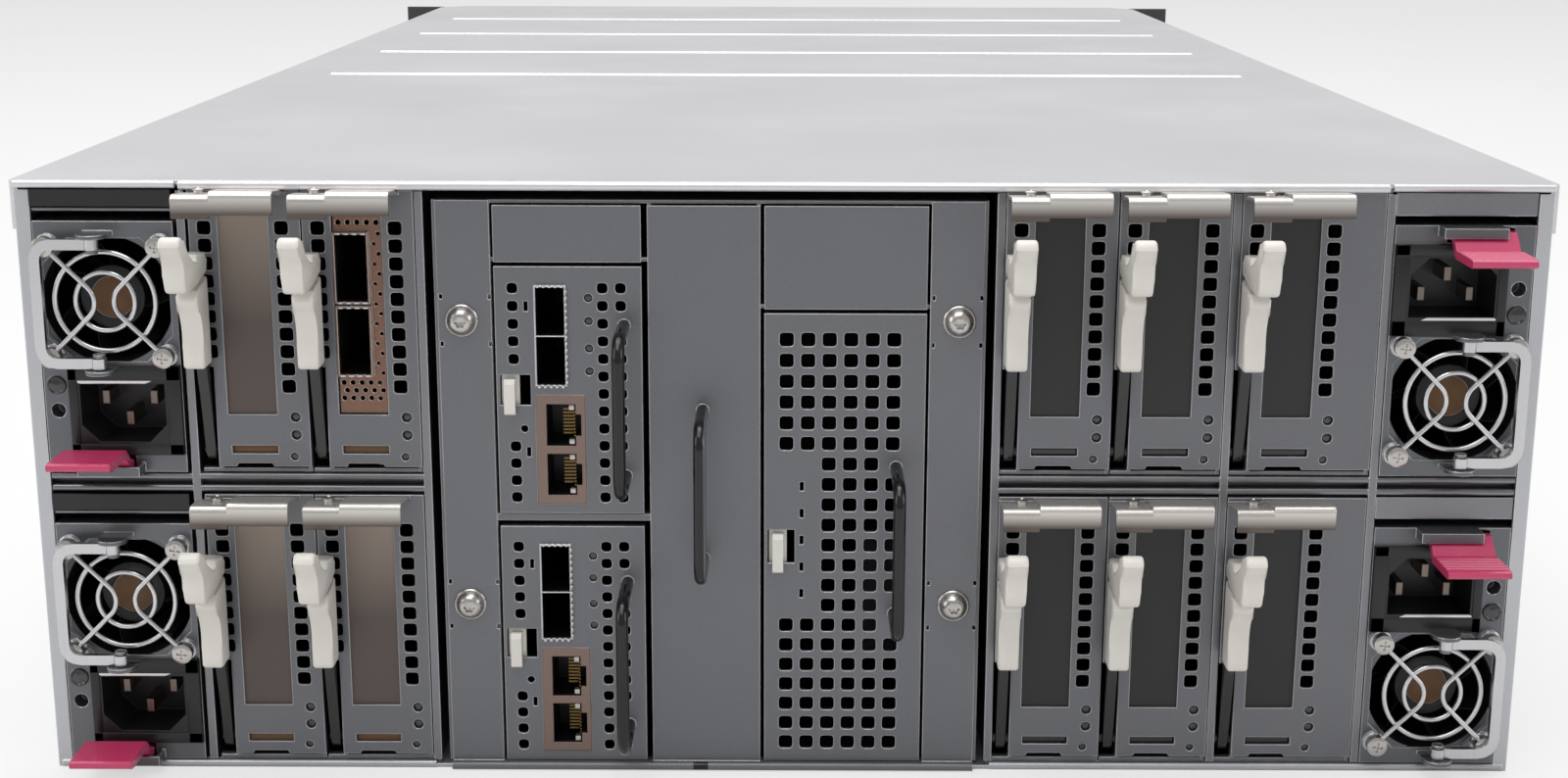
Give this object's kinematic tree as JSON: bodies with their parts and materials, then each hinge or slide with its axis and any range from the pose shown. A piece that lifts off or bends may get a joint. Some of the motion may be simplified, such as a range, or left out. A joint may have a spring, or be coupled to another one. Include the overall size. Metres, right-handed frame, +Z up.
{
  "type": "blade server chassis",
  "caption": "Four-unit rack chassis seen from its rear: plug-in power supplies, card cartridges with levers, an I/O tray of network and management modules, and blades in the front.",
  "frame": {"origin": "centre of the bounding box, on the plane the chassis rests on", "axes": "+Z up, +Y from the rear face with the power supplies to the front face with the blades, +X to the right seen from the rear"},
  "size_m": [0.4826, 0.8332, 0.177],
  "materials": {
    "zinc_steel": "satin",
    "cover_steel": "satin",
    "ear_steel": "satin",
    "module_steel": "satin",
    "board": "satin",
    "black_plastic": "satin",
    "ivory_plastic": "satin",
    "crimson_plastic": "gloss",
    "bright_steel": "gloss",
    "fan_plastic": "satin",
    "copper_tone": "satin",
    "blade_steel": "satin",
    "lever_metal": "satin"
  },
  "bodies": {
    "chassis": {"chassis_shell": "zinc_steel", "top_cover": "cover_steel", "rack_ears": "ear_steel", "bay_frame": "zinc_steel", "midplane_board": "board"},
    "lower_label_tab": {"lower_label_tab": "black_plastic"},
    "upper_label_tab": {"upper_label_tab": "black_plastic"},
    "lower_left_psu": {"lower_left_psu_case": "module_steel"},
    "lower_left_psu_fan": {"lower_left_psu_fan": "fan_plastic"},
    "lower_left_psu_bail": {"lower_left_psu_bail": "bright_steel"},
    "lower_left_psu_latch": {"lower_left_psu_latch": "crimson_plastic"},
    "lower_right_psu": {"lower_right_psu_case": "module_steel"},
    "lower_right_psu_fan": {"lower_right_psu_fan": "fan_plastic"},
    "lower_right_psu_bail": {"lower_right_psu_bail": "bright_steel"},
    "lower_right_psu_latch": {"lower_right_psu_latch": "crimson_plastic"},
    "upper_left_psu": {"upper_left_psu_case": "module_steel"},
    "upper_left_psu_fan": {"upper_left_psu_fan": "fan_plastic"},
    "upper_left_psu_bail": {"upper_left_psu_bail": "bright_steel"},
    "upper_left_psu_latch": {"upper_left_psu_latch": "crimson_plastic"},
    "upper_right_psu": {"upper_right_psu_case": "module_steel"},
    "upper_right_psu_fan": {"upper_right_psu_fan": "fan_plastic"},
    "upper_right_psu_bail": {"upper_right_psu_bail": "bright_steel"},
    "upper_right_psu_latch": {"upper_right_psu_latch": "crimson_plastic"},
    "lower_cartridge_1": {"lower_cartridge_1": "module_steel"},
    "lower_lever_1": {"lower_lever_1": "ivory_plastic"},
    "lower_cartridge_2": {"lower_cartridge_2": "module_steel"},
    "lower_lever_2": {"lower_lever_2": "ivory_plastic"},
    "lower_cartridge_3": {"lower_cartridge_3": "module_steel"},
    "lower_lever_3": {"lower_lever_3": "ivory_plastic"},
    "lower_cartridge_4": {"lower_cartridge_4": "module_steel"},
    "lower_lever_4": {"lower_lever_4": "ivory_plastic"},
    "lower_cartridge_5": {"lower_cartridge_5": "module_steel"},
    "lower_lever_5": {"lower_lever_5": "ivory_plastic"},
    "upper_cartridge_1": {"upper_cartridge_1": "module_steel"},
    "upper_lever_1": {"upper_lever_1": "ivory_plastic"},
    "upper_cartridge_2": {"upper_cartridge_2": "module_steel", "network_card": "copper_tone"},
    "upper_lever_2": {"upper_lever_2": "ivory_plastic"},
    "upper_cartridge_3": {"upper_cartridge_3": "module_steel"},
    "upper_lever_3": {"upper_lever_3": "ivory_plastic"},
    "upper_cartridge_4": {"upper_cartridge_4": "module_steel"},
    "upper_lever_4": {"upper_lever_4": "ivory_plastic"},
    "upper_cartridge_5": {"upper_cartridge_5": "module_steel"},
    "upper_lever_5": {"upper_lever_5": "ivory_plastic"},
    "io_tray": {"io_tray": "module_steel", "captive_screws": "bright_steel"},
    "lower_network_module": {"lower_network_module": "module_steel"},
    "lower_network_latch": {"lower_network_latch": "ivory_plastic"},
    "upper_network_module": {"upper_network_module": "module_steel"},
    "upper_network_latch": {"upper_network_latch": "ivory_plastic"},
    "management_module": {"management_module": "module_steel"},
    "management_latch": {"management_latch": "ivory_plastic"},
    "blade_1": {"blade_1": "blade_steel"},
    "blade_lever_1": {"blade_lever_1": "lever_metal"},
    "blade_2": {"blade_2": "blade_steel"},
    "blade_lever_2": {"blade_lever_2": "lever_metal"},
    "blade_3": {"blade_3": "blade_steel"},
    "blade_lever_3": {"blade_lever_3": "lever_metal"},
    "blade_4": {"blade_4": "blade_steel"},
    "blade_lever_4": {"blade_lever_4": "lever_metal"}
  },
  "joints": [
    {"name": "lower_label_tab_slide", "type": "slide", "parent": "chassis", "child": "lower_label_tab", "axis": [0, -1, 0], "range_m": [0, 0.045]},
    {"name": "upper_label_tab_slide", "type": "slide", "parent": "chassis", "child": "upper_label_tab", "axis": [0, -1, 0], "range_m": [0, 0.045]},
    {"name": "lower_left_psu_slide", "type": "slide", "parent": "chassis", "child": "lower_left_psu", "axis": [0, -1, 0], "range_m": [0, 0.17]},
    {"name": "lower_left_psu_fan_spin", "type": "hinge", "parent": "lower_left_psu", "child": "lower_left_psu_fan", "pos_m": [-0.19275, -0.37055, 0.0533], "axis": [0, 1, 0], "continuous": true},
    {"name": "lower_left_psu_bail_swing", "type": "hinge", "parent": "lower_left_psu", "child": "lower_left_psu_bail", "pos_m": [-0.19425, -0.3915, 0.0533], "axis": [0, 0, 1], "range_deg": [0, 90]},
    {"name": "lower_left_psu_latch_press", "type": "hinge", "parent": "lower_left_psu", "child": "lower_left_psu_latch", "pos_m": [-0.19705, -0.37355, 0.0051], "axis": [-1, 0, 0], "range_deg": [0, 5], "stiffness_Nm_per_rad": 0.3, "springref_deg": -5.73},
    {"name": "lower_right_psu_slide", "type": "slide", "parent": "chassis", "child": "lower_right_psu", "axis": [0, -1, 0], "range_m": [0, 0.17]},
    {"name": "lower_right_psu_fan_spin", "type": "hinge", "parent": "lower_right_psu", "child": "lower_right_psu_fan", "pos_m": [0.19275, -0.37055, 0.0254], "axis": [0, 1, 0], "continuous": true},
    {"name": "lower_right_psu_bail_swing", "type": "hinge", "parent": "lower_right_psu", "child": "lower_right_psu_bail", "pos_m": [0.19425, -0.3915, 0.0254], "axis": [0, 0, -1], "range_deg": [0, 90]},
    {"name": "lower_right_psu_latch_press", "type": "hinge", "parent": "lower_right_psu", "child": "lower_right_psu_latch", "pos_m": [0.19705, -0.37355, 0.0736], "axis": [1, 0, 0], "range_deg": [0, 5], "stiffness_Nm_per_rad": 0.3, "springref_deg": -5.73},
    {"name": "upper_left_psu_slide", "type": "slide", "parent": "chassis", "child": "upper_left_psu", "axis": [0, -1, 0], "range_m": [0, 0.17]},
    {"name": "upper_left_psu_fan_spin", "type": "hinge", "parent": "upper_left_psu", "child": "upper_left_psu_fan", "pos_m": [-0.19275, -0.37055, 0.1425], "axis": [0, 1, 0], "continuous": true},
    {"name": "upper_left_psu_bail_swing", "type": "hinge", "parent": "upper_left_psu", "child": "upper_left_psu_bail", "pos_m": [-0.19425, -0.3915, 0.1425], "axis": [0, 0, 1], "range_deg": [0, 90]},
    {"name": "upper_left_psu_latch_press", "type": "hinge", "parent": "upper_left_psu", "child": "upper_left_psu_latch", "pos_m": [-0.19705, -0.37355, 0.0943], "axis": [-1, 0, 0], "range_deg": [0, 5], "stiffness_Nm_per_rad": 0.3, "springref_deg": -5.73},
    {"name": "upper_right_psu_slide", "type": "slide", "parent": "chassis", "child": "upper_right_psu", "axis": [0, -1, 0], "range_m": [0, 0.17]},
    {"name": "upper_right_psu_fan_spin", "type": "hinge", "parent": "upper_right_psu", "child": "upper_right_psu_fan", "pos_m": [0.19275, -0.37055, 0.1146], "axis": [0, 1, 0], "continuous": true},
    {"name": "upper_right_psu_bail_swing", "type": "hinge", "parent": "upper_right_psu", "child": "upper_right_psu_bail", "pos_m": [0.19425, -0.3915, 0.1146], "axis": [0, 0, -1], "range_deg": [0, 90]},
    {"name": "upper_right_psu_latch_press", "type": "hinge", "parent": "upper_right_psu", "child": "upper_right_psu_latch", "pos_m": [0.19705, -0.37355, 0.1628], "axis": [1, 0, 0], "range_deg": [0, 5], "stiffness_Nm_per_rad": 0.3, "springref_deg": -5.73},
    {"name": "lower_cartridge_1_slide", "type": "slide", "parent": "chassis", "child": "lower_cartridge_1", "axis": [0, -1, 0], "range_m": [0, 0.17]},
    {"name": "lower_lever_1_swing", "type": "hinge", "parent": "lower_cartridge_1", "child": "lower_lever_1", "pos_m": [-0.16595, -0.38135, 0.0086], "axis": [1, 0, 0], "range_deg": [0, 60]},
    {"name": "lower_cartridge_2_slide", "type": "slide", "parent": "chassis", "child": "lower_cartridge_2", "axis": [0, -1, 0], "range_m": [0, 0.17]},
    {"name": "lower_lever_2_swing", "type": "hinge", "parent": "lower_cartridge_2", "child": "lower_lever_2", "pos_m": [-0.13385, -0.38135, 0.0086], "axis": [1, 0, 0], "range_deg": [0, 60]},
    {"name": "lower_cartridge_3_slide", "type": "slide", "parent": "chassis", "child": "lower_cartridge_3", "axis": [0, -1, 0], "range_m": [0, 0.17]},
    {"name": "lower_lever_3_swing", "type": "hinge", "parent": "lower_cartridge_3", "child": "lower_lever_3", "pos_m": [0.06535, -0.38135, 0.0086], "axis": [1, 0, 0], "range_deg": [0, 60]},
    {"name": "lower_cartridge_4_slide", "type": "slide", "parent": "chassis", "child": "lower_cartridge_4", "axis": [0, -1, 0], "range_m": [0, 0.17]},
    {"name": "lower_lever_4_swing", "type": "hinge", "parent": "lower_cartridge_4", "child": "lower_lever_4", "pos_m": [0.09745, -0.38135, 0.0086], "axis": [1, 0, 0], "range_deg": [0, 60]},
    {"name": "lower_cartridge_5_slide", "type": "slide", "parent": "chassis", "child": "lower_cartridge_5", "axis": [0, -1, 0], "range_m": [0, 0.17]},
    {"name": "lower_lever_5_swing", "type": "hinge", "parent": "lower_cartridge_5", "child": "lower_lever_5", "pos_m": [0.13195, -0.38135, 0.0086], "axis": [1, 0, 0], "range_deg": [0, 60]},
    {"name": "upper_cartridge_1_slide", "type": "slide", "parent": "chassis", "child": "upper_cartridge_1", "axis": [0, -1, 0], "range_m": [0, 0.17]},
    {"name": "upper_lever_1_swing", "type": "hinge", "parent": "upper_cartridge_1", "child": "upper_lever_1", "pos_m": [-0.16595, -0.38135, 0.0978], "axis": [1, 0, 0], "range_deg": [0, 60]},
    {"name": "upper_cartridge_2_slide", "type": "slide", "parent": "chassis", "child": "upper_cartridge_2", "axis": [0, -1, 0], "range_m": [0, 0.17]},
    {"name": "upper_lever_2_swing", "type": "hinge", "parent": "upper_cartridge_2", "child": "upper_lever_2", "pos_m": [-0.13385, -0.38135, 0.0978], "axis": [1, 0, 0], "range_deg": [0, 60]},
    {"name": "upper_cartridge_3_slide", "type": "slide", "parent": "chassis", "child": "upper_cartridge_3", "axis": [0, -1, 0], "range_m": [0, 0.17]},
    {"name": "upper_lever_3_swing", "type": "hinge", "parent": "upper_cartridge_3", "child": "upper_lever_3", "pos_m": [0.06535, -0.38135, 0.0978], "axis": [1, 0, 0], "range_deg": [0, 60]},
    {"name": "upper_cartridge_4_slide", "type": "slide", "parent": "chassis", "child": "upper_cartridge_4", "axis": [0, -1, 0], "range_m": [0, 0.17]},
    {"name": "upper_lever_4_swing", "type": "hinge", "parent": "upper_cartridge_4", "child": "upper_lever_4", "pos_m": [0.09745, -0.38135, 0.0978], "axis": [1, 0, 0], "range_deg": [0, 60]},
    {"name": "upper_cartridge_5_slide", "type": "slide", "parent": "chassis", "child": "upper_cartridge_5", "axis": [0, -1, 0], "range_m": [0, 0.17]},
    {"name": "upper_lever_5_swing", "type": "hinge", "parent": "upper_cartridge_5", "child": "upper_lever_5", "pos_m": [0.13195, -0.38135, 0.0978], "axis": [1, 0, 0], "range_deg": [0, 60]},
    {"name": "io_tray_slide", "type": "slide", "parent": "chassis", "child": "io_tray", "axis": [0, -1, 0], "range_m": [0, 0.17]},
    {"name": "lower_network_module_slide", "type": "slide", "parent": "io_tray", "child": "lower_network_module", "axis": [0, -1, 0], "range_m": [0, 0.16]},
    {"name": "lower_network_latch_slide", "type": "slide", "parent": "lower_network_module", "child": "lower_network_latch", "axis": [1, 0, 0], "range_m": [0, 0.004], "stiffness_N_per_m": 300, "springref_m": -0.003},
    {"name": "upper_network_module_slide", "type": "slide", "parent": "io_tray", "child": "upper_network_module", "axis": [0, -1, 0], "range_m": [0, 0.16]},
    {"name": "upper_network_latch_slide", "type": "slide", "parent": "upper_network_module", "child": "upper_network_latch", "axis": [1, 0, 0], "range_m": [0, 0.004], "stiffness_N_per_m": 300, "springref_m": -0.003},
    {"name": "management_module_slide", "type": "slide", "parent": "io_tray", "child": "management_module", "axis": [0, -1, 0], "range_m": [0, 0.16]},
    {"name": "management_latch_slide", "type": "slide", "parent": "management_module", "child": "management_latch", "axis": [1, 0, 0], "range_m": [0, 0.003], "stiffness_N_per_m": 300, "springref_m": -0.003},
    {"name": "blade_1_slide", "type": "slide", "parent": "chassis", "child": "blade_1", "axis": [0, 1, 0], "range_m": [0, 0.5]},
    {"name": "blade_lever_1_swing", "type": "hinge", "parent": "blade_1", "child": "blade_lever_1", "pos_m": [-0.2084, 0.41305, 0.022], "axis": [0, 0, 1], "range_deg": [0, 85]},
    {"name": "blade_2_slide", "type": "slide", "parent": "chassis", "child": "blade_2", "axis": [0, 1, 0], "range_m": [0, 0.5]},
    {"name": "blade_lever_2_swing", "type": "hinge", "parent": "blade_2", "child": "blade_lever_2", "pos_m": [-0.10057, 0.41305, 0.022], "axis": [0, 0, 1], "range_deg": [0, 85]},
    {"name": "blade_3_slide", "type": "slide", "parent": "chassis", "child": "blade_3", "axis": [0, 1, 0], "range_m": [0, 0.5]},
    {"name": "blade_lever_3_swing", "type": "hinge", "parent": "blade_3", "child": "blade_lever_3", "pos_m": [0.00725, 0.41305, 0.022], "axis": [0, 0, 1], "range_deg": [0, 85]},
    {"name": "blade_4_slide", "type": "slide", "parent": "chassis", "child": "blade_4", "axis": [0, 1, 0], "range_m": [0, 0.5]},
    {"name": "blade_lever_4_swing", "type": "hinge", "parent": "blade_4", "child": "blade_lever_4", "pos_m": [0.11507, 0.41305, 0.022], "axis": [0, 0, 1], "range_deg": [0, 85]}
  ]
}
